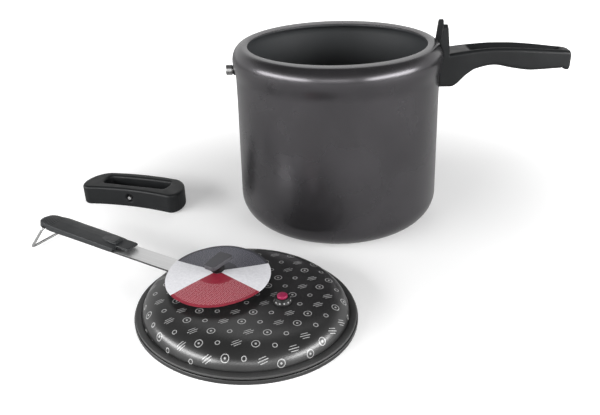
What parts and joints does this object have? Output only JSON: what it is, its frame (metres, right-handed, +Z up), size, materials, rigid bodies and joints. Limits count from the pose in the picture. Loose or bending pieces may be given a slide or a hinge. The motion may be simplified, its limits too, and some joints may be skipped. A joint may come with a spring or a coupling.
{
  "type": "pressure cooker",
  "caption": "Inner-lid stovetop pressure cooker: open pot with a forked long handle, lid on a sprung strap with wire bail, vent weight and safety plug, and a loose helper handle.",
  "frame": {"origin": "centre of the pot's flat base, on the surface it stands on", "axes": "+X along the pot's long handle, +Z up, +Y to the right of someone who holds that handle and faces the pot; the lid lies at -X -Y"},
  "size_m": [0.5832, 0.4242, 0.2148],
  "materials": {
    "charcoal_coat": "satin charcoal coating on pressed aluminium",
    "printed_coat": "satin charcoal coating with a light grey print of small motifs",
    "black_phenolic": "moulded black phenolic resin, fine matt",
    "black_rubber": "black sealing rubber",
    "bright_steel": "pale rolled steel",
    "bare_aluminium": "turned bare aluminium",
    "dark_metal": "blackened metal",
    "grey_cap": "dark grey moulded plastic",
    "magenta_silicone": "magenta silicone",
    "tag_paper": "printed paper in white, dark grey and red fields, with no words"
  },
  "bodies": {
    "pot": {"pot_body": "charcoal_coat", "pot_handle": "black_phenolic", "handle_bracket": "charcoal_coat", "bracket_rivet_left": "bare_aluminium", "bracket_rivet_right": "bare_aluminium", "handle_screw": "bright_steel", "helper_stud": "bright_steel"},
    "lid": {"lid_shell": "printed_coat", "lid_gasket": "black_rubber", "lid_strap": "bright_steel", "strap_rivet_1": "bright_steel", "strap_rivet_2": "bright_steel", "vent_pipe": "bare_aluminium", "vent_washer": "black_rubber", "vent_nut": "bare_aluminium", "valve_seat": "black_phenolic", "safety_plug": "magenta_silicone", "paper_tag": "tag_paper", "lid_grip": "black_phenolic", "grip_screw_1": "bright_steel", "grip_screw_2": "bright_steel"},
    "bail": {"bail_wire": "bright_steel"},
    "weight": {"weight_core": "dark_metal", "weight_cap": "grey_cap"},
    "helper_handle": {"helper_handle": "black_phenolic", "helper_screw": "bright_steel"}
  },
  "joints": [
    {"name": "lid_lift", "type": "slide", "parent": "pot", "child": "lid", "axis": [0, 0, 1], "range_m": [0, 0.3]},
    {"name": "bail_swing", "type": "hinge", "parent": "lid", "child": "bail", "pos_m": [-0.31233, -0.08155, 0.0274], "axis": [0.515, 0.8572, 0], "range_deg": [-4, 120]},
    {"name": "weight_lift", "type": "slide", "parent": "lid", "child": "weight", "axis": [0, 0, 1], "range_m": [0, 0.04]},
    {"name": "helper_handle_lift", "type": "slide", "parent": "pot", "child": "helper_handle", "axis": [0, 0, 1], "range_m": [0, 0.2]}
  ]
}
